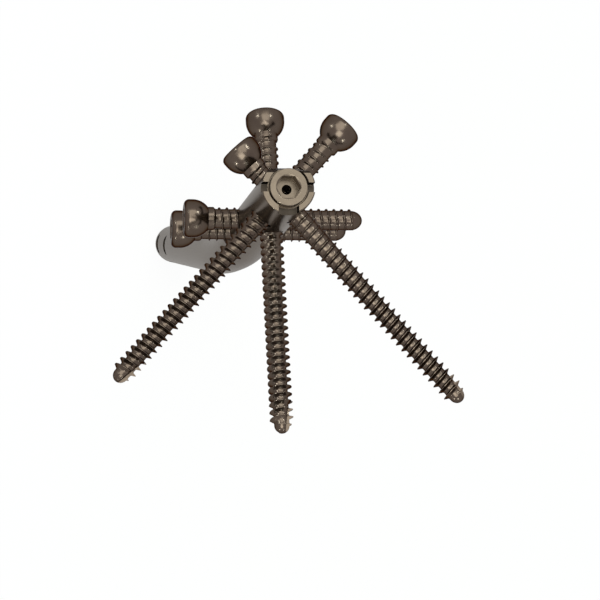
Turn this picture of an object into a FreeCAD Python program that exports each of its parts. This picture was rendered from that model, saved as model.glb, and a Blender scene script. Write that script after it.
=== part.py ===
import FreeCAD, Part
import math
import os
from FreeCAD import Placement, Rotation, Vector

# Nail for the marrow canal of a shin bone, with its end cap and five locking screws, in millimetres.
# The origin is the centre of the far tip. +Z runs up the straight shaft, +Y to the front of the leg.
# Sizes on the near segment are measured from the driving end, down the segment's own axis.

# Nail body
nail_length = 255.0
near_leg = 102.5
shaft_d = 10.0
near_d = 11.0
bend_deg = 9.0
bend_radius = 400.0
taper_length = 38.0
taper_steps = 8
wire_bore_d = 4.0
tip_length = 10.0
tip_end_d = 7.4
tip_chamfer = 0.9
top_chamfer = 0.25

# Driving end
mouth_d = 8.4
mouth_depth = 2.4
notch_depth = 2.4
side_notch_w = 2.0
rear_notch_w = 4.2
front_bevel_y = 3.3
front_bevel_deg = 12.0

# End cap
cap_head_d = 7.76
cap_stem_d = 7.1
cap_stem_length = 6.6
cap_stem_chamfer = 0.5
cap_hex_af = 4.5
cap_hex_depth = 3.3
cap_lead_d = 5.25
cap_wire_d = 1.9

# Locking screws
screw_d = 5.0
head_d = 8.3
head_band_end = 1.9
head_ball_steps = 2
head_chamfer = 0.7
recess_af = 3.5
recess_depth = 2.8
point_length = 2.5
nose_d = 2.0
nose_chamfer = 0.9
flute_count = 3
flute_r = 1.3
flute_depth = 0.6
flute_length = 7.0

# Clearances
hole_clearance = 0.1
thread_clearance = 0.05
cap_end_clearance = 0.6

# Each screw: depth of its crossing below the driving end, heading about the segment's axis from +X,
# rise of its point towards the driving end, reach of its head from the axis, and full length
screws = {
    "oblique_screw_right": {"depth": 14.1, "heading": -48.6, "rise": 2.2, "reach": 13.9, "length": 70.5},
    "oblique_screw_left": {"depth": 20.1, "heading": -131.6, "rise": 2.8, "reach": 22.2, "length": 73.4},
    "front_screw": {"depth": 31.7, "heading": -89.3, "rise": 16.7, "reach": 22.7, "length": 73.7},
    "side_screw_upper": {"depth": 45.6, "heading": 0.0, "rise": 0.0, "reach": 17.0, "length": 38.8},
    "side_screw_lower": {"depth": 62.0, "heading": 0.0, "rise": 0.0, "reach": 18.2, "length": 38.8},
}

# The long screws cut their own thread with flutes in the point
fluted_screws = ("oblique_screw_right", "oblique_screw_left", "front_screw")

# The hole of this screw is a slot, which lets the nail slide along it
slot_screw = "side_screw_lower"
slot_travel = 7.0

# Holes left free for the far locking screws: height above the tip, and heading about the shaft from +Y
far_holes = ((13.0, 90.0), (23.0, 0.0), (33.0, 90.0))

# Derived sizes and places
O = Vector(0, 0, 0)
X = Vector(1, 0, 0)
Y = Vector(0, 1, 0)
Z = Vector(0, 0, 1)
overrun = 1.0
shaft_r = shaft_d / 2
near_r = near_d / 2
screw_r = screw_d / 2
head_r = head_d / 2
hole_r = screw_r + hole_clearance
cap_stem_r = cap_stem_d / 2
cap_bore_r = cap_stem_r + thread_clearance
cap_bore_depth = mouth_depth + cap_stem_length + cap_end_clearance
far_leg = nail_length - near_leg
bend_tangent = bend_radius * math.tan(math.radians(bend_deg) / 2)
bend_start_z = far_leg - bend_tangent
bend_centre = Vector(0, bend_radius, bend_start_z)
near_length = near_leg - bend_tangent
taper_deg = math.degrees(taper_length / bend_radius)
near_tilt = Rotation(X, -bend_deg)
near_top = Vector(0, 0, far_leg) + near_tilt.multVec(Z) * near_leg
near_frame = Placement(near_top, near_tilt)


def at(r, z):
    """Point of a turned profile, at radius r and height z."""
    return Vector(r, 0, z)


def turned(points):
    """Solid turned about Z from a profile of straight lines that starts and ends on the axis."""
    return Part.Face(Part.makePolygon(points + points[:1])).revolve(O, Z, 360)


def hexagon_prism(across_flats, depth, base):
    """Hexagonal prism that rises from base, with a flat towards +Y."""
    corner_r = across_flats / math.sqrt(3)
    angles = [math.radians(60 * i) for i in range(7)]
    corners = [base + Vector(corner_r * math.cos(a), corner_r * math.sin(a), 0) for a in angles]
    return Part.Face(Part.makePolygon(corners)).extrude(Z * depth)


def on_bend(degrees):
    """Place and tilt of the nail's axis, at an angle along the bend from the straight shaft."""
    tilt = Rotation(X, -degrees)
    return Placement(bend_centre - tilt.multVec(Y) * bend_radius, tilt)


def even_bend(to_deg, radius):
    """Round bar of one radius from the start of the bend to an angle along it."""
    disc = Part.Face(Part.Wire([Part.makeCircle(radius, on_bend(0).Base, Z)]))
    return disc.revolve(bend_centre, X * -1, to_deg)


def taper_bar():
    """Last part of the bend, where the bar thickens from the shaft to the near segment."""
    rings = []
    for i in range(taper_steps + 1):
        share = i / taper_steps
        place = on_bend(bend_deg - taper_deg * (1 - share))
        radius = shaft_r + (near_r - shaft_r) * share
        rings.append(Part.Wire([Part.makeCircle(radius, place.Base, place.Rotation.multVec(Z))]))
    return Part.makeLoft(rings, True, True)


def shaft_bar():
    """Straight shaft on Z, with its slender tip."""
    end_r = tip_end_d / 2
    return turned([O, at(end_r - tip_chamfer, 0), at(end_r, tip_chamfer), at(shaft_r, tip_length),
                   at(shaft_r, bend_start_z), at(0, bend_start_z)])


def near_bar():
    """Thick near segment, in its own frame with the driving end at height 0."""
    return turned([at(0, -near_length), at(near_r, -near_length), at(near_r, -top_chamfer),
                   at(near_r - top_chamfer, 0), O])


def wire_bore():
    """Bore for the guide wire along the whole nail."""
    r = wire_bore_d / 2
    low = Part.makeCylinder(r, bend_start_z + overrun, Vector(0, 0, -overrun))
    high = Part.makeCylinder(r, near_length + overrun, Vector(0, 0, -near_length))
    high.Placement = near_frame
    return [low, even_bend(bend_deg, r), high]


def driving_end_cuts():
    """Mouth, cap bore, notches and front bevel, in the near segment's frame."""
    mouth = Part.makeCylinder(mouth_d / 2, mouth_depth + overrun, Vector(0, 0, -mouth_depth))
    bore = Part.makeCylinder(cap_bore_r, cap_bore_depth, Vector(0, 0, -cap_bore_depth))
    drill_depth = cap_bore_r - wire_bore_d / 2
    drill_end = Part.makeCone(wire_bore_d / 2, cap_bore_r, drill_depth,
                              Vector(0, 0, -cap_bore_depth - drill_depth))
    notch_h = notch_depth + overrun
    outside = near_r + overrun
    side = Part.makeBox(2 * outside, side_notch_w, notch_h,
                        Vector(-outside, -side_notch_w / 2, -notch_depth))
    rear = Part.makeBox(rear_notch_w, outside, notch_h, Vector(-rear_notch_w / 2, -outside, -notch_depth))
    bevel_length = (near_r - front_bevel_y) / math.sin(math.radians(front_bevel_deg)) + overrun
    bevel = Part.makeBox(2 * outside, outside, bevel_length + overrun, Vector(-outside, 0, -bevel_length))
    bevel.Placement = Placement(Vector(0, front_bevel_y, 0), Rotation(X, front_bevel_deg))
    return [mouth, bore, drill_end, side, rear, bevel]


def screw_axis(screw):
    """Crossing point and direction of a screw, in the near segment's frame."""
    heading = math.radians(screw["heading"])
    rise = math.radians(screw["rise"])
    level = math.cos(rise)
    return (Vector(0, 0, -screw["depth"]),
            Vector(level * math.cos(heading), level * math.sin(heading), math.sin(rise)))


def near_hole(screw, lower=0.0):
    """Cylinder of a screw's hole through the near segment, set lower where a slot ends."""
    crossing, direction = screw_axis(screw)
    start = crossing - Z * lower - direction * near_d
    return Part.makeCylinder(hole_r, 2 * near_d, start, direction)


def slot_middle(screw):
    """Straight middle of the slot that lets its screw slide along the nail."""
    return Part.makeBox(2 * near_d, 2 * hole_r, slot_travel,
                        Vector(-near_d, -hole_r, -screw["depth"] - slot_travel))


def far_hole(height, heading):
    """Cylinder of a free locking hole through the straight shaft."""
    hole = Part.makeCylinder(hole_r, 2 * shaft_d, Vector(0, 0, -shaft_d))
    hole.Placement = Placement(Vector(0, 0, height), Rotation(Z, heading).multiply(Rotation(X, 90)))
    return hole


def nail():
    """Bent, tapered tube with its driving end and all its cross holes."""
    near = near_bar()
    near.Placement = near_frame
    body = shaft_bar().fuse([even_bend(bend_deg - taper_deg, shaft_r), taper_bar(), near])
    near_cuts = driving_end_cuts() + [near_hole(screw) for screw in screws.values()]
    near_cuts += [near_hole(screws[slot_screw], slot_travel), slot_middle(screws[slot_screw])]
    for cut in near_cuts:
        cut.Placement = near_frame.multiply(cut.Placement)
    far_cuts = [far_hole(height, heading) for height, heading in far_holes]
    return body.cut(wire_bore() + near_cuts + far_cuts).removeSplitter()


def end_cap():
    """Cap with a hexagonal socket: its head sits on the shoulder inside the nail's mouth."""
    head = Part.makeCylinder(cap_head_d / 2, mouth_depth, Vector(0, 0, -mouth_depth))
    stem_end = -mouth_depth - cap_stem_length
    chamfer_top = stem_end + cap_stem_chamfer
    stem = Part.makeCylinder(cap_stem_r, -mouth_depth - chamfer_top, Vector(0, 0, chamfer_top))
    stem_tip = Part.makeCone(cap_stem_r - cap_stem_chamfer, cap_stem_r, cap_stem_chamfer,
                             Vector(0, 0, stem_end))
    socket = hexagon_prism(cap_hex_af, cap_hex_depth + overrun, Vector(0, 0, -cap_hex_depth))
    lead_depth = (cap_lead_d - cap_hex_af) / 2
    lead = Part.makeCone(cap_hex_af / 2, cap_lead_d / 2, lead_depth, Vector(0, 0, -lead_depth))
    wire_hole = Part.makeCylinder(cap_wire_d / 2, -stem_end + overrun, Vector(0, 0, stem_end - overrun))
    cap = head.fuse([stem, stem_tip]).cut([socket, lead, wire_hole]).removeSplitter()
    cap.Placement = near_frame
    return cap


def screw_blank(length):
    """Uncut screw along -Z: flat head, ball-shaped underside, shank and blunt point."""
    profile = [O, at(head_r - head_chamfer, 0), at(head_r, -head_chamfer)]
    neck_angle = math.acos(screw_r / head_r)
    for i in range(head_ball_steps + 1):
        angle = neck_angle * i / head_ball_steps
        profile.append(at(head_r * math.cos(angle), -head_band_end - head_r * math.sin(angle)))
    nose_r = nose_d / 2
    profile += [at(screw_r, -length + point_length), at(nose_r + nose_chamfer, -length + nose_chamfer),
                at(nose_r, -length), at(0, -length)]
    return turned(profile)


def screw_flutes(length):
    """Cutting flutes round the screw's point, tilted so that they run out of the shank."""
    slope = flute_depth / flute_length
    flutes = []
    for i in range(flute_count):
        angle = 2 * math.pi * i / flute_count
        outward = Vector(math.cos(angle), math.sin(angle), 0)
        direction = Z + outward * slope
        foot = outward * (screw_r - flute_depth + flute_r) - Z * length - direction * overrun
        flutes.append(Part.makeCylinder(flute_r, flute_length + 2 * overrun, foot, direction))
    return flutes


def locking_screw(name, screw):
    """Screw with a hexagonal recess, set on its own axis through the nail."""
    cuts = [hexagon_prism(recess_af, recess_depth + overrun, Vector(0, 0, -recess_depth))]
    if name in fluted_screws:
        cuts += screw_flutes(screw["length"])
    solid = screw_blank(screw["length"]).cut(cuts)
    crossing, direction = screw_axis(screw)
    own_place = Placement(crossing - direction * screw["reach"], Rotation(Z, direction * -1))
    solid.Placement = near_frame.multiply(own_place)
    return solid


def main():
    os.makedirs("parts", exist_ok=True)
    nail().exportStep("parts/nail.step")
    end_cap().exportStep("parts/end_cap.step")
    for name, screw in screws.items():
        locking_screw(name, screw).exportStep("parts/" + name + ".step")


main()
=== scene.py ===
import math

import bpy
from mathutils import Matrix, Vector


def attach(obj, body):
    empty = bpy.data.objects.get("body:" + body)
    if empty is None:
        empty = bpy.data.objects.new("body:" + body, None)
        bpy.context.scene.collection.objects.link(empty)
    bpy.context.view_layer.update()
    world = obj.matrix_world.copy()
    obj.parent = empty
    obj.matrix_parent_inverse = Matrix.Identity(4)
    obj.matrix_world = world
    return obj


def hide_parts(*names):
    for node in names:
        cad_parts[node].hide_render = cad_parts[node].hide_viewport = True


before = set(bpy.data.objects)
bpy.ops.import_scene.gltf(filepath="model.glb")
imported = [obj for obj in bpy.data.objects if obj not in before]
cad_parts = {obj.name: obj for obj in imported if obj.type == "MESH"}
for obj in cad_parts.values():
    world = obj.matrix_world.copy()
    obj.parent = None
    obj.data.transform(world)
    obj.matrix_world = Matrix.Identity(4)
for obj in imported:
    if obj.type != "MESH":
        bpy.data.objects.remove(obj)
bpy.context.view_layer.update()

MM = 0.001
TURN = 2 * math.pi

# Nail, in millimetres, as in the solids: lengths run along the axis from the far tip
SHAFT_R = 5.0
NEAR_R = 5.5
WIRE_R = 2.0
BEND = math.radians(9.0)
BEND_RADIUS = 400.0
FAR_LEG = 152.5
NEAR_LEG = 102.5
BEND_TANGENT = BEND_RADIUS * math.tan(BEND / 2)
BEND_START = FAR_LEG - BEND_TANGENT
BEND_END = BEND_START + BEND_RADIUS * BEND
NAIL_END = BEND_END + NEAR_LEG - BEND_TANGENT
TAPER_LENGTH = 38.0
TIP_LENGTH = 10.0
TIP_END_R = 3.7
TIP_EDGE = 0.9
WIRE_CHAMFER = 0.2
TOP_EDGE = 0.25
MOUTH_R = 4.2
MOUTH_DEPTH = 2.4
MOUTH_CHAMFER = 0.08
CAP_BORE_R = 3.6
CAP_BORE_DEPTH = 9.6
HOLE_R = 2.6
SLOT_TRAVEL = 7.0
FAR_HOLES = ((13.0, 90.0), (23.0, 0.0), (33.0, 90.0))
NOTCH_DEPTH = 2.4
NOTCH_CORNER = 0.3
SIDE_NOTCH_W = 2.0
REAR_NOTCH_W = 4.2
FRONT_BEVEL_Y = 3.3
FRONT_BEVEL = math.radians(12.0)
FRONT_BEVEL_REACH = 16.0
FRONT_EDGE = 0.35
FRONT_EDGE_TILT = math.radians(55)
FRONT_EDGE_REACH = 2.0
CUTTER_SPARE = 1.0

# End cap, in millimetres
CAP_R = 3.88
CAP_EDGE = 0.1
CAP_STEM_R = 3.55
CAP_STEM_END = 9.0
CAP_STEM_CHAMFER = 0.5
CAP_HEX_AF = 4.5
CAP_HEX_DEPTH = 3.3
CAP_LEAD_R = 2.625
CAP_LEAD_SLOPE = math.tan(math.radians(28))
CAP_DRILL_R = 2.17
CAP_DRILL_DEPTH = 3.8
CAP_WIRE_R = 0.95
CAP_WIRE_CHAMFER = 0.08
CAP_WIRE_CHAMFER_DEPTH = 0.1

# Screws: where each crosses the axis below the driving end, how far its head lies from there, and its
# length, in millimetres, then the heading and rise of its point and the turn of its thread, in degrees
SCREWS = {
    "oblique_screw_right": {
        "depth": 14.1, "reach": 13.9, "length": 70.5, "heading": -48.6, "rise": 2.2, "turn": -37},
    "oblique_screw_left": {
        "depth": 20.1, "reach": 22.2, "length": 73.4, "heading": -131.6, "rise": 2.8, "turn": -119},
    "front_screw": {
        "depth": 31.7, "reach": 22.7, "length": 73.7, "heading": -89.3, "rise": 16.7, "turn": -74},
    "side_screw_upper": {
        "depth": 45.6, "reach": 17.0, "length": 38.8, "heading": 0.0, "rise": 0.0, "turn": 97},
    "side_screw_lower": {
        "depth": 62.0, "reach": 18.2, "length": 38.8, "heading": 0.0, "rise": 0.0, "turn": 97},
}
SLOT_SCREW = "side_screw_lower"

# Screw form, in millimetres
MAJOR_R = 2.48
HEAD_R = 4.15
HEAD_BAND_END = 1.9
HEAD_EDGE = 1.1
COLLAR_R = 2.55
COLLAR_END = 6.35
COLLAR_TAPER = 0.45
HELIX_START = 5.435
RECESS_AF = 3.5
RECESS_DEPTH = 2.8
RECESS_CONE = 0.5
RECESS_LEAD_R = 2.15
CORE_R = 2.13
THIN_FROM = 21.0
THIN_TO = 45.0

# Thread, in millimetres: the flanks as slopes, its growth by distance from the collar's end
PITCH = 1.665
CREST_HALF = 0.06
CREST_EDGE = 0.03
CREST_DROP = 0.06
HEAD_FLANK = math.tan(math.radians(12))
POINT_FLANK = math.tan(math.radians(30))
FILLET = 0.12
FILLET_SHARE = 0.3
FILLET_MIDDLE = 0.08
FILLET_MIDDLE_SHARE = 0.35
FILLET_WIDTH = 0.2
GROWTH_FROM = 0.5
GROWTH_TO = 1.2
HELIX_GAP = 0.05
HELIX_SPARE = 0.45
NOSE_GAP = 0.1

# Screw points, in millimetres: the core's radius, and by distance from the end where the nose starts
# and where the thread starts to fade and is gone
SIDE_POINT = {"core_r": CORE_R, "nose": 2.6, "fade_from": 2.6, "fade_to": 1.9}
LONG_POINT = {"core_r": 1.6, "nose": 1.7, "fade_from": 2.7, "fade_to": 1.2}

# Flutes of the long screws: cutting face's angle, floor's radius at the end, its slope and its run-out
FLUTE_AT = math.radians(172)
FLUTE_BACK = 0.1
FLUTE_FLOOR = 0.65
FLUTE_SLOPE = 0.15
FLUTE_LENGTH = 6.0
FLUTE_RUN_OUT = 0.6

# Camera, in the near segment's frame: place, line of sight and roll
CAMERA_PLACE = Vector((-92.4, -113.1, 715.6))
CAMERA_SIGHT = Vector((0.130, 0.1236, -0.9838))
CAMERA_ROLL = math.radians(-0.28)
CAMERA_SENSOR = 36.0
CAMERA_FOCAL_PX = 3584.0
IMAGE_PX = 600.0

# Lights: angles to the right of and above the line from the driving end to the camera
LIGHT_DISTANCE = 1.0
SOFT_BOXES = ((-1, -12, 0.57, 5.3), (3, 31, 0.77, 2.9))
SOFT_TINT = (0.97, 1.05, 0.98)
SPOTS = ((-52, 33), (-52, -53), (35, -53), (40, 36))
SPOT_SIZE = 0.08
SPOT_LEVEL = 58.0
SPOT_TINT = (0.93, 1.08, 1.05)

# Metals: pale and dark oxide colour, colour at grazing angles, roughness
NAIL_METAL = ((0.122, 0.095, 0.073), (0.102, 0.079, 0.061), (0.5, 0.48, 0.46), 0.28)
# Cut faces: rougher as milled, and much darker as painted shade for the notch floors and hole walls
SHADED_CUT_METAL = ((0.038, 0.03, 0.024), (0.026, 0.02, 0.016), (0.3, 0.27, 0.25), 0.34)
SCREW_METAL = ((0.094, 0.071, 0.056), (0.078, 0.058, 0.046), (0.28, 0.26, 0.25), 0.22)

# Surroundings: floor in metres, and how bright the floor and the world look and the world lights
FLOOR_SIZE = 6.0
FLOOR_HEIGHT = -0.0008
FLOOR_TINT = (0.93, 0.93, 0.93)
FLOOR_GLOW = 0.9
WORLD_LIGHT = 0.25
WORLD_EXTRA_LOOK = 0.75

# Mesh fineness, and the width in millimetres of the narrow rings that keep flat faces flat
SCREW_SEGMENTS = 96
ROUND_SEGMENTS = 160
CAP_SEGMENTS = 162
HOLE_SEGMENTS = 96
BEND_RINGS = 36
TIP_RINGS = 24
TIP_EDGE_STEPS = 7
TOP_EDGE_STEPS = 4
NOTCH_CORNER_STEPS = 4
HEAD_EDGE_STEPS = 9
HEAD_BALL_STEPS = 16
NOSE_RINGS = 6
NARROW = 0.05

# Shading: least crease that shows, and how far a face of the bar may face away or drift from round
CREASE = math.radians(35)
NAIL_CREASE = math.radians(30)
ROUND_FACING = 0.985
ROUND_DRIFT = 0.35

# Stands an outline up, so that its cutter lies along Y
UPRIGHT = Matrix.Rotation(math.radians(90), 4, "X")


def along_axis(length):
    """Place on the nail's bent axis, with Z along it, at a length from the far tip."""
    angle = min(max((length - BEND_START) / BEND_RADIUS, 0.0), BEND)
    turn = Matrix.Rotation(-angle, 4, "X")
    straight = length - BEND_RADIUS * angle - BEND_START
    centre = Vector((0, BEND_RADIUS, BEND_START))
    spot = centre + turn @ Vector((0, -BEND_RADIUS, straight))
    return Matrix.Translation(spot) @ turn


NEAR_FRAME = along_axis(NAIL_END)


def in_metres(place):
    """The same place with its shift turned from millimetres to metres."""
    scaled = place.copy()
    scaled.translation = place.translation * MM
    return scaled


def new_object(name, vertices, faces, place):
    """Smooth-shaded object in metres from vertices in millimetres, set at a place."""
    mesh = bpy.data.meshes.new(name)
    mesh.from_pydata([tuple(c * MM for c in v) for v in vertices], [], faces)
    mesh.transform(in_metres(place))
    mesh.validate()
    mesh.shade_smooth()
    mesh.set_sharp_from_angle(angle=CREASE)
    piece = bpy.data.objects.new(name, mesh)
    bpy.context.scene.collection.objects.link(piece)
    return piece


def finish_piece(piece, node):
    """Lets a piece stand for its solid."""
    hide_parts(node)
    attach(piece, "root")


def hexagon_r(across_flats, angle):
    """Radius of a hexagon with a flat towards +Y, at an angle from +X."""
    from_flat = (angle % (TURN / 6)) - TURN / 12
    return across_flats / 2 / math.cos(from_flat)


def smooth(a, b, x):
    """Runs from 0 to 1 as x goes from a to b."""
    t = min(max((x - a) / (b - a), 0.0), 1.0)
    return t * t * (3 - 2 * t)


class Rings:
    """A stack of rings about Z that becomes one closed skin."""

    def __init__(self, count):
        self.count = count
        self.vertices = []
        self.faces = []

    def angle(self, i):
        return -TURN * i / self.count

    def ring(self, radius, height, place=None):
        """Adds a ring. radius and height are numbers or functions of the angle."""
        first = len(self.vertices)
        for i in range(self.count):
            a = self.angle(i)
            r = radius(a) if callable(radius) else radius
            z = height(a) if callable(height) else height
            point = Vector((r * math.cos(a), r * math.sin(a), z))
            self.vertices.append(tuple(place @ point if place else point))
        return [first + i for i in range(self.count)]

    def join(self, upper, lower):
        """Joins two rings by quads that face outwards where lower is the next ring down the outside."""
        for i in range(self.count):
            j = (i + 1) % self.count
            self.faces.append((upper[i], upper[j], lower[j], lower[i]))

    def close(self, ring, height, downwards):
        """Closes a ring with a fan about a point on the axis."""
        middle = len(self.vertices)
        self.vertices.append((0.0, 0.0, height))
        for i in range(self.count):
            j = (i + 1) % self.count
            self.faces.append((middle, ring[i], ring[j]) if downwards else (middle, ring[j], ring[i]))

    def loop(self, rows):
        """Joins rows of radius and height to a closed tube."""
        rings = [self.ring(*row) for row in rows]
        for i, ring in enumerate(rings):
            self.join(ring, rings[(i + 1) % len(rings)])


def spread(start, end, count):
    """Lengths from start to end, both ends left out."""
    return [start + (end - start) * i / count for i in range(1, count)]


def nail_r(length):
    """Outer radius of the nail at a length from the far tip."""
    if length < TIP_LENGTH:
        share = (length - TIP_EDGE) / (TIP_LENGTH - TIP_EDGE)
        return TIP_END_R + (SHAFT_R - TIP_END_R) * (1 - (1 - share) ** 2)
    return SHAFT_R + (NEAR_R - SHAFT_R) * smooth(BEND_END - TAPER_LENGTH, BEND_END, length)


def nail_rows():
    """Length and radius of the nail's rings, down the outside and up through the bore."""
    flat_r = NEAR_R - TOP_EDGE
    rows = [(NAIL_END, MOUTH_R + MOUTH_CHAMFER), (NAIL_END, flat_r - NARROW), (NAIL_END, flat_r)]
    for step in range(1, TOP_EDGE_STEPS + 1):
        a = math.pi / 2 * step / TOP_EDGE_STEPS
        rows.append((NAIL_END - TOP_EDGE * (1 - math.cos(a)), NEAR_R - TOP_EDGE * (1 - math.sin(a))))
    bend = [BEND_END] + spread(BEND_END, BEND_START, BEND_RINGS) + [BEND_START]
    rows += [(s, nail_r(s)) for s in bend + [TIP_LENGTH] + spread(TIP_LENGTH, TIP_EDGE, TIP_RINGS)]
    lean = math.atan(2 * (SHAFT_R - TIP_END_R) / (TIP_LENGTH - TIP_EDGE))
    edge_r = TIP_EDGE / (1 - math.sin(lean))
    for step in range(TIP_EDGE_STEPS + 1):
        a = lean + (math.pi / 2 - lean) * step / TIP_EDGE_STEPS
        rows.append((edge_r * (1 - math.sin(a)), TIP_END_R + edge_r * (math.cos(a) - math.cos(lean))))
    rows += [(0.0, WIRE_R + WIRE_CHAMFER), (WIRE_CHAMFER, WIRE_R)]
    rows += [(s, WIRE_R) for s in reversed(bend)]
    bore_end = NAIL_END - CAP_BORE_DEPTH
    mouth_end = NAIL_END - MOUTH_DEPTH
    rows += [(bore_end - CAP_BORE_R + WIRE_R, WIRE_R), (bore_end, CAP_BORE_R), (mouth_end, CAP_BORE_R),
             (mouth_end, MOUTH_R), (NAIL_END - MOUTH_CHAMFER, MOUTH_R)]
    return rows


def nail_body():
    """Bent tube without its cross holes."""
    skin = Rings(ROUND_SEGMENTS)
    skin.loop([(radius, 0.0, along_axis(length)) for length, radius in nail_rows()])
    return new_object("nail_body", skin.vertices, skin.faces, Matrix.Identity(4))


def prism(points, half_length, place):
    """Cutter with an outline in its own XY plane, drawn out both ways along Z."""
    count = len(points)
    vertices = [(x, y, z) for z in (-half_length, half_length) for x, y in points]
    faces = [tuple(reversed(range(count))), tuple(range(count, 2 * count))]
    for i in range(count):
        j = (i + 1) % count
        faces.append((i, j, count + j, count + i))
    return new_object("cutter", vertices, faces, place)


def slot_outline(travel):
    """Outline of a hole that is travel longer along -Y than it is wide, round where travel is 0."""
    points = []
    for i in range(HOLE_SEGMENTS):
        a = TURN * (i + 0.5) / HOLE_SEGMENTS
        x = HOLE_R * math.cos(a)
        y = HOLE_R * math.sin(a)
        points.append((x, y if y > 0 else y - travel))
    return points


def box_outline(left, right, low, high):
    return [(left, low), (right, low), (right, high), (left, high)]


def notch_outline(width):
    """Outline of a notch from its rounded floor to above the driving end."""
    half = width / 2
    points = []
    for side, start in ((-1, 1.0), (1, 1.5)):
        for step in range(NOTCH_CORNER_STEPS + 1):
            a = math.pi * (start + 0.5 * step / NOTCH_CORNER_STEPS)
            points.append((side * (half - NOTCH_CORNER) + NOTCH_CORNER * math.cos(a),
                           -NOTCH_DEPTH + NOTCH_CORNER + NOTCH_CORNER * math.sin(a)))
    return points + [(half, CUTTER_SPARE), (-half, CUTTER_SPARE)]


def screw_direction(screw):
    heading = math.radians(screw["heading"])
    rise = math.radians(screw["rise"])
    level = math.cos(rise)
    return Vector((level * math.cos(heading), level * math.sin(heading), math.sin(rise)))


def near_hole_cutters():
    """Holes and slot for the screws through the near segment."""
    cutters = []
    for name, screw in SCREWS.items():
        across = screw_direction(screw)
        side = Vector((0, 0, 1)).cross(across).normalized()
        turn = Matrix((side, across.cross(side), across)).transposed().to_4x4()
        place = NEAR_FRAME @ Matrix.Translation((0, 0, -screw["depth"])) @ turn
        travel = SLOT_TRAVEL if name == SLOT_SCREW else 0.0
        cutters.append(prism(slot_outline(travel), 2 * NEAR_R, place))
    return cutters


def far_hole_cutters():
    """Free locking holes through the straight shaft."""
    cutters = []
    for height, heading in FAR_HOLES:
        place = Matrix.Translation((0, 0, height)) @ Matrix.Rotation(math.radians(heading), 4, "Z") @ UPRIGHT
        cutters.append(prism(slot_outline(0.0), 2 * SHAFT_R, place))
    return cutters


def front_cutter(y, tilt, reach):
    """Takes off what lies in front of a tilted plane near the driving end."""
    outside = NEAR_R + CUTTER_SPARE
    place = Matrix.Translation((0, y, 0)) @ Matrix.Rotation(tilt, 4, "X")
    return prism(box_outline(-outside, outside, 0.0, outside), reach, NEAR_FRAME @ place)


def driving_end_cutters():
    """Side notches, rear notch, front bevel and the small edge over it."""
    outside = NEAR_R + CUTTER_SPARE
    across = Matrix.Rotation(math.radians(90), 4, "Z") @ UPRIGHT
    side = prism(notch_outline(SIDE_NOTCH_W), outside, NEAR_FRAME @ across)
    lengthwise = Matrix.Translation((0, -outside, 0)) @ UPRIGHT
    rear = prism(notch_outline(REAR_NOTCH_W), outside, NEAR_FRAME @ lengthwise)
    bevel = front_cutter(FRONT_BEVEL_Y, FRONT_BEVEL, FRONT_BEVEL_REACH)
    edge = front_cutter(FRONT_BEVEL_Y - FRONT_EDGE, FRONT_EDGE_TILT, FRONT_EDGE_REACH)
    return [side, rear, bevel, edge]


def cut(piece, cutters):
    """Takes the cutters out of a piece."""
    for cutter in cutters:
        step = piece.modifiers.new("cut", "BOOLEAN")
        step.operation = "DIFFERENCE"
        step.solver = "EXACT"
        step.material_mode = "TRANSFER"
        step.object = cutter
    graph = bpy.context.evaluated_depsgraph_get()
    mesh = bpy.data.meshes.new_from_object(piece.evaluated_get(graph))
    piece.modifiers.clear()
    piece.data = mesh
    for cutter in cutters:
        bpy.data.objects.remove(cutter)


def nearest_length(point):
    """Length along the nail's axis that is nearest to a point in millimetres."""
    if point.z <= BEND_START:
        return point.z
    angle = math.atan2(point.z - BEND_START, BEND_RADIUS - point.y)
    if angle <= BEND:
        return BEND_START + BEND_RADIUS * angle
    return NAIL_END + (NEAR_FRAME.inverted() @ point).z


def out_from_axis(point):
    """Way from the nail's axis to a point, square to the axis."""
    place = along_axis(nearest_length(point))
    local = place.inverted() @ point
    return place.to_3x3() @ Vector((local.x, local.y, 0))


def round_normals(piece):
    """Gives the faces round the nail's axis the normals of a true round bar or bore."""
    mesh = piece.data
    normals = [Vector((0, 0, 0))] * len(mesh.loops)
    for face in mesh.polygons:
        if face.center.z < TIP_LENGTH * MM:
            continue
        middle = out_from_axis(face.center / MM)
        facing = face.normal.dot(middle.normalized())
        if abs(facing) < ROUND_FACING:
            continue
        corners = [out_from_axis(mesh.vertices[i].co / MM) for i in face.vertices]
        if max(abs(corner.length - middle.length) for corner in corners) > ROUND_DRIFT:
            continue
        for index, corner in zip(face.loop_indices, corners):
            normals[index] = corner.normalized() * math.copysign(1.0, facing)
    mesh.normals_split_custom_set(normals)


def make_nail(metal, shaded_cut):
    """Bent tube with its holes, slot and notches; its cut faces are rougher and painted darker as shade in
    the notches and holes.
    """
    piece = nail_body()
    piece.name = "nail_drilled"
    piece.data.materials.append(metal)
    cutters = near_hole_cutters() + far_hole_cutters() + driving_end_cutters()
    # The cutters carry the darker metal onto the cut faces: painted shade in the notches and holes
    for cutter in cutters:
        cutter.data.materials.append(shaded_cut)
    cut(piece, cutters)
    piece.data.shade_smooth()
    piece.data.set_sharp_from_angle(angle=NAIL_CREASE)
    round_normals(piece)
    finish_piece(piece, "nail")


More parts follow.
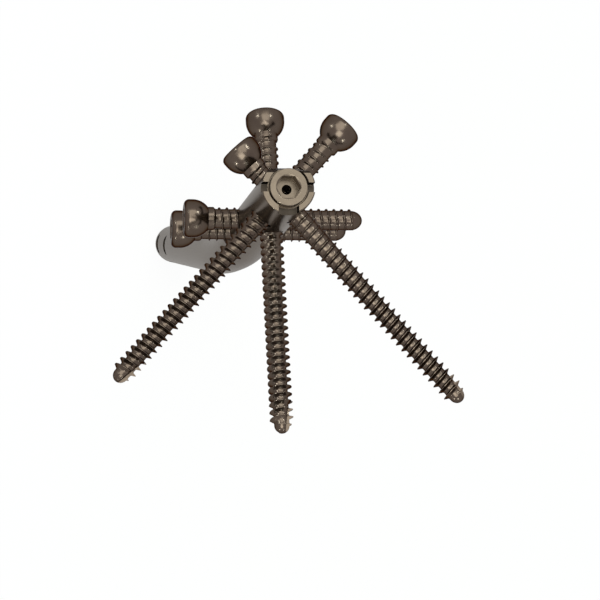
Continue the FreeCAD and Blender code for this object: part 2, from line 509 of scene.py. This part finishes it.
def make_cap(metal):
    """End cap: drilled and broached socket with a lead, thin edge, head and stem."""
    def hexagon(a):
        return hexagon_r(CAP_HEX_AF, a)

    skin = Rings(CAP_SEGMENTS)
    skin.loop([
        (CAP_WIRE_R, -CAP_STEM_END),
        (CAP_WIRE_R, -CAP_DRILL_DEPTH - CAP_WIRE_CHAMFER_DEPTH),
        (CAP_WIRE_R + CAP_WIRE_CHAMFER, -CAP_DRILL_DEPTH),
        (CAP_DRILL_R, -CAP_DRILL_DEPTH),
        (CAP_DRILL_R, -CAP_HEX_DEPTH),
        (hexagon, -CAP_HEX_DEPTH),
        (hexagon, lambda a: (hexagon(a) - CAP_LEAD_R) * CAP_LEAD_SLOPE),
        (CAP_LEAD_R, 0.0),
        (CAP_LEAD_R + NARROW, 0.0),
        (CAP_R - CAP_EDGE - NARROW, 0.0),
        (CAP_R - CAP_EDGE, 0.0),
        (CAP_R, -CAP_EDGE),
        (CAP_R, -MOUTH_DEPTH),
        (CAP_STEM_R, -MOUTH_DEPTH),
        (CAP_STEM_R, -CAP_STEM_END + CAP_STEM_CHAMFER),
        (CAP_STEM_R - CAP_STEM_CHAMFER, -CAP_STEM_END)])
    piece = new_object("end_cap_turned", skin.vertices, skin.faces, NEAR_FRAME)
    piece.data.materials.append(metal)
    finish_piece(piece, "end_cap")


def head_rows():
    """Radius and height of the rings from the head's flat face to its collar."""
    rows = [(RECESS_LEAD_R + NARROW, 0.0), (HEAD_R - HEAD_EDGE - NARROW, 0.0)]
    for step in range(HEAD_EDGE_STEPS + 1):
        a = math.pi / 2 * step / HEAD_EDGE_STEPS
        rows.append((HEAD_R - HEAD_EDGE * (1 - math.sin(a)), -HEAD_EDGE * (1 - math.cos(a))))
    neck = math.acos(COLLAR_R / HEAD_R)
    for step in range(HEAD_BALL_STEPS + 1):
        a = neck * step / HEAD_BALL_STEPS
        rows.append((HEAD_R * math.cos(a), -HEAD_BAND_END - HEAD_R * math.sin(a)))
    rows.append((COLLAR_R, -HELIX_START))
    return rows


class ScrewForm:
    """Core, crest and flutes of one screw, by distance down from its head's face."""

    def __init__(self, name):
        side = name.startswith("side")
        point = SIDE_POINT if side else LONG_POINT
        self.length = SCREWS[name]["length"]
        self.point_core_r = point["core_r"]
        self.nose_length = point["nose"]
        self.fade_from = self.length - point["fade_from"]
        self.fade_to = self.length - point["fade_to"]
        self.fluted = not side

    def core(self, v):
        """Radius of the core, from the collar over the thinning shank to the round nose."""
        thin = min(max((v - THIN_FROM) / (THIN_TO - THIN_FROM), 0.0), 1.0)
        r = CORE_R + (self.point_core_r - CORE_R) * thin
        r += (COLLAR_R - r) * (1 - smooth(COLLAR_END, COLLAR_END + COLLAR_TAPER, v))
        past = (v - self.length + self.nose_length) / self.nose_length
        return r * math.sqrt(max(1 - max(past, 0.0) ** 2, 0.0))

    def depth(self, v):
        """Height of the thread over the core."""
        grown = smooth(COLLAR_END + GROWTH_FROM, COLLAR_END + GROWTH_TO, v)
        share = grown * (1 - smooth(self.fade_from, self.fade_to, v))
        return max(MAJOR_R - self.core(v), 0.0) * share

    def flute(self, angle, v):
        """Radius that the two flutes leave, each with a flat floor that ends at a radial cutting face."""
        from_face = (FLUTE_AT - angle) % (TURN / 2)
        if not self.fluted or from_face > TURN / 4 - FLUTE_BACK:
            return math.inf
        from_point = self.length - v
        run_out = FLUTE_RUN_OUT * max(from_point - FLUTE_LENGTH, 0.0) ** 2
        floor = FLUTE_FLOOR + FLUTE_SLOPE * from_point + run_out
        return floor / math.cos(from_face)


def thread_rows(form, v):
    """Offsets from the crest and heights over the core across one pitch, at a place on the helix."""
    depth = form.depth(v)
    fillet = min(FILLET, depth * FILLET_SHARE)
    shoulder = CREST_DROP * min(depth, 1.0)

    def flank(slope):
        top = CREST_HALF + CREST_EDGE
        end = top + (depth - shoulder - fillet) * slope
        root = end + FILLET_WIDTH
        return [(CREST_HALF, depth), (top, depth - shoulder), (end, fillet),
                (end + FILLET_MIDDLE, fillet * FILLET_MIDDLE_SHARE),
                (root, 0.0), ((root + PITCH / 2) / 2, 0.0)]

    towards_head = [(-x, h) for x, h in reversed(flank(HEAD_FLANK))]
    return [(-PITCH / 2, 0.0)] + towards_head + flank(POINT_FLANK)


def screw_skin(name):
    """One closed skin: recess, head, collar, helical thread, flutes and nose."""
    form = ScrewForm(name)
    count = SCREW_SEGMENTS
    skin = Rings(count)

    def recess(a):
        return hexagon_r(RECESS_AF, a)

    # Recess, head and collar
    last = skin.ring(recess, -RECESS_DEPTH)
    skin.close(last, -RECESS_DEPTH - RECESS_CONE, False)
    rows = [(recess, lambda a: recess(a) - RECESS_LEAD_R), (RECESS_LEAD_R, 0.0)] + head_rows()
    for radius, height in rows:
        ring = skin.ring(radius, height)
        skin.join(last, ring)
        last = ring

    # The helix has one column of vertices a segment, turned by whole segments
    first_v = HELIX_START + HELIX_GAP + PITCH / 2
    end = int((form.length - HELIX_SPARE - PITCH / 2 - first_v) / PITCH * count)
    shift = -round(SCREWS[name]["turn"] / 360 * count)

    def crest(i):
        """Distance of the crest from the head's face."""
        return first_v + PITCH * i / count

    def on(ring, i):
        """Vertex of a ring that lies on a column."""
        return ring[(i + shift) % count]

    def put(i, v, height):
        """Adds a vertex to a column, at a height over the core."""
        a = skin.angle(i + shift)
        r = min(form.core(v) + height, form.flute(a, v))
        skin.vertices.append((r * math.cos(a), r * math.sin(a), -v))
        return len(skin.vertices) - 1

    def strip(one, other):
        """Joins two neighbouring columns."""
        for k in range(len(one) - 1):
            skin.faces.append((one[k], other[k], other[k + 1], one[k + 1]))

    table = []
    for i in range(end + 1):
        table.append([put(i, crest(i) + x, h) for x, h in thread_rows(form, crest(i))])
    across = len(table[0])
    bottom = {i: put(i, crest(i) + PITCH / 2, 0.0) for i in range(end - count + 1, end + 1)}

    def vertex(i, k):
        """Vertex of a column, whose last one is the first one of the column a pitch below."""
        if k < across:
            return table[i][k]
        if i + count <= end:
            return table[i + count][0]
        return bottom[i]

    # Wedge between the collar and the first turn of the helix
    full = PITCH / 2 + first_v - HELIX_START
    shares = [(first_v + x - HELIX_START) / full for x, _ in thread_rows(form, first_v)]
    before = None
    for i in range(1, count):
        height = crest(i) - PITCH / 2 - HELIX_START
        column = [put(i, HELIX_START + height * share, 0.0) for share in shares]
        column = [on(last, i)] + column + [table[i][0]]
        if before:
            strip(before, column)
        else:
            skin.faces.append(tuple([on(last, 0)] + column + [table[0][0]]))
        before = column
    strip(before, [on(last, 0)] + table[0] + [table[count][0]])

    # Helix
    for i in range(end):
        for k in range(across):
            skin.faces.append((vertex(i, k), vertex(i + 1, k), vertex(i + 1, k + 1), vertex(i, k + 1)))

    # Wedge between the last turn of the helix and the nose
    nose_v = crest(end) + PITCH / 2 + NOSE_GAP
    nose = skin.ring(lambda a: min(form.core(nose_v), form.flute(a, nose_v)), -nose_v)
    full = PITCH + NOSE_GAP
    shares = [(x + PITCH / 2) / full for x, _ in thread_rows(form, nose_v)[1:]] + [PITCH / full]
    before = table[end] + [bottom[end], on(nose, end)]
    for i in range(end - count + 1, end):
        bottom_v = crest(i) + PITCH / 2
        column = [put(i, bottom_v + (nose_v - bottom_v) * share, 0.0) for share in shares]
        column = [bottom[i]] + column + [on(nose, i)]
        strip(before, column)
        before = column
    skin.faces.append(tuple([before[0], bottom[end], on(nose, end)] + before[:0:-1]))

    # Nose
    last = nose
    for step in range(1, NOSE_RINGS):
        v = nose_v + (form.length - nose_v) * math.sin(math.pi / 2 * step / NOSE_RINGS)
        ring = skin.ring(lambda a: min(form.core(v), form.flute(a, v)), -v)
        skin.join(last, ring)
        last = ring
    skin.close(last, -form.length, True)
    return skin


def screw_place(screw):
    """Place of a screw's own frame: its axis along -Z, its face at the origin."""
    direction = screw_direction(screw)
    face = Vector((0, 0, -screw["depth"])) - direction * screw["reach"]
    turn = (-direction).to_track_quat("Z", "Y").to_matrix().to_4x4()
    return NEAR_FRAME @ Matrix.Translation(face) @ turn


def make_screws(metal):
    for name, screw in SCREWS.items():
        skin = screw_skin(name)
        piece = new_object(name + "_threaded", skin.vertices, skin.faces, screw_place(screw))
        piece.data.materials.append(metal)
        finish_piece(piece, name)


def titanium(name, pale, dark, edge, rough):
    """Satin anodised titanium: faintly mottled oxide colour, fine uneven polish, dark at grazing angles."""
    material = bpy.data.materials.new(name)
    material.use_nodes = True
    nodes = material.node_tree.nodes
    links = material.node_tree.links
    shader = nodes["Principled BSDF"]
    shader.inputs["Metallic"].default_value = 1.0
    shader.inputs["Specular Tint"].default_value = (*edge, 1)
    place = nodes.new("ShaderNodeTexCoord")
    mottle = nodes.new("ShaderNodeTexNoise")
    mottle.inputs["Scale"].default_value = 420.0
    mottle.inputs["Detail"].default_value = 6.0
    links.new(place.outputs["Object"], mottle.inputs["Vector"])
    ramp = nodes.new("ShaderNodeValToRGB")
    ramp.color_ramp.elements[0].position = 0.3
    ramp.color_ramp.elements[0].color = (*dark, 1)
    ramp.color_ramp.elements[1].position = 0.7
    ramp.color_ramp.elements[1].color = (*pale, 1)
    links.new(mottle.outputs["Fac"], ramp.inputs["Fac"])
    links.new(ramp.outputs["Color"], shader.inputs["Base Color"])
    grain = nodes.new("ShaderNodeTexNoise")
    grain.inputs["Scale"].default_value = 2600.0
    grain.inputs["Detail"].default_value = 3.0
    links.new(place.outputs["Object"], grain.inputs["Vector"])
    polish = nodes.new("ShaderNodeMapRange")
    polish.inputs["To Min"].default_value = rough - 0.03
    polish.inputs["To Max"].default_value = rough + 0.04
    links.new(grain.outputs["Fac"], polish.inputs["Value"])
    links.new(polish.outputs["Result"], shader.inputs["Roughness"])
    bump = nodes.new("ShaderNodeBump")
    bump.inputs["Strength"].default_value = 0.1
    bump.inputs["Distance"].default_value = 0.000004
    links.new(grain.outputs["Fac"], bump.inputs["Height"])
    links.new(bump.outputs["Normal"], shader.inputs["Normal"])
    return material


def add_camera():
    data = bpy.data.cameras.new("camera")
    data.sensor_width = CAMERA_SENSOR
    data.lens = CAMERA_SENSOR * CAMERA_FOCAL_PX / IMAGE_PX
    data.clip_start = 0.05
    data.clip_end = 20.0
    camera = bpy.data.objects.new("camera", data)
    bpy.context.scene.collection.objects.link(camera)
    back = -CAMERA_SIGHT.normalized()
    right = Vector((0, 1, 0)).cross(back).normalized()
    turn = Matrix((right, back.cross(right), back)).transposed().to_4x4()
    roll = Matrix.Rotation(CAMERA_ROLL, 4, "Z")
    camera.matrix_world = in_metres(NEAR_FRAME @ Matrix.Translation(CAMERA_PLACE) @ turn @ roll)
    bpy.context.scene.camera = camera
    return camera


def add_area(name, camera, right_deg, up_deg, size, level, tint):
    """Square light whose face is level times as bright as a white surface of strength 1."""
    view = camera.matrix_world.to_3x3().normalized()
    a = math.radians(right_deg)
    b = math.radians(up_deg)
    direction = view @ Vector((math.sin(a) * math.cos(b), math.sin(b), math.cos(a) * math.cos(b)))
    data = bpy.data.lights.new(name, "AREA")
    data.shape = "SQUARE"
    data.size = size
    data.color = tint
    data.energy = level * math.pi * size * size
    light = bpy.data.objects.new(name, data)
    bpy.context.scene.collection.objects.link(light)
    turn = direction.to_track_quat("Z", "Y").to_matrix().to_4x4()
    light.matrix_world = Matrix.Translation(NEAR_FRAME.translation * MM + direction * LIGHT_DISTANCE) @ turn
    return light


def add_lights(camera):
    for i, box in enumerate(SOFT_BOXES):
        add_area("soft_box_%d" % i, camera, *box, SOFT_TINT)
    for i, angles in enumerate(SPOTS):
        spot = add_area("spot_%d" % i, camera, *angles, SPOT_SIZE, SPOT_LEVEL, SPOT_TINT)
        spot.data.use_shadow = False


def seen_share(nodes, links, share):
    """Share for rays from the camera and for mirrored or refracted rays, and 0 for all others."""
    path = nodes.new("ShaderNodeLightPath")
    total = path.outputs["Is Camera Ray"]
    for kind in ("Is Glossy Ray", "Is Transmission Ray"):
        either = nodes.new("ShaderNodeMath")
        either.operation = "MAXIMUM"
        links.new(total, either.inputs[0])
        links.new(path.outputs[kind], either.inputs[1])
        total = either.outputs[0]
    part = nodes.new("ShaderNodeMath")
    part.operation = "MULTIPLY"
    part.inputs[1].default_value = share
    links.new(total, part.inputs[0])
    return part.outputs[0]


def add_floor():
    bpy.ops.mesh.primitive_plane_add(size=FLOOR_SIZE, location=(0, 0, FLOOR_HEIGHT))
    floor = bpy.context.object
    floor.name = "floor"
    material = bpy.data.materials.new("pale_floor")
    material.use_nodes = True
    nodes = material.node_tree.nodes
    links = material.node_tree.links
    shader = nodes["Principled BSDF"]
    shader.inputs["Base Color"].default_value = (*FLOOR_TINT, 1)
    shader.inputs["Roughness"].default_value = 0.9
    shader.inputs["Specular IOR Level"].default_value = 0.0
    glow = nodes.new("ShaderNodeEmission")
    mix = nodes.new("ShaderNodeMixShader")
    links.new(seen_share(nodes, links, FLOOR_GLOW), mix.inputs["Fac"])
    links.new(shader.outputs["BSDF"], mix.inputs[1])
    links.new(glow.outputs["Emission"], mix.inputs[2])
    links.new(mix.outputs["Shader"], nodes["Material Output"].inputs["Surface"])
    floor.data.materials.append(material)


def add_world():
    """White surroundings, a little dimmer as a light than as they look."""
    world = bpy.data.worlds.new("studio")
    bpy.context.scene.world = world
    world.use_nodes = True
    nodes = world.node_tree.nodes
    links = world.node_tree.links
    background = nodes["Background"]
    background.inputs["Color"].default_value = (1, 1, 1, 1)
    level = nodes.new("ShaderNodeMath")
    level.inputs[1].default_value = WORLD_LIGHT
    links.new(seen_share(nodes, links, WORLD_EXTRA_LOOK), level.inputs[0])
    links.new(level.outputs[0], background.inputs["Strength"])


def main():
    scene = bpy.context.scene
    scene.view_settings.view_transform = "Standard"
    camera = add_camera()
    add_lights(camera)
    add_floor()
    add_world()
    nail_metal = titanium("nail_titanium", *NAIL_METAL)
    # Darker metal for the nail's cut faces: painted shade in its notches and holes
    shaded_cut_metal = titanium("cut_titanium_painted_shade", *SHADED_CUT_METAL)
    screw_metal = titanium("screw_titanium", *SCREW_METAL)
    make_nail(nail_metal, shaded_cut_metal)
    make_cap(nail_metal)
    make_screws(screw_metal)


main()
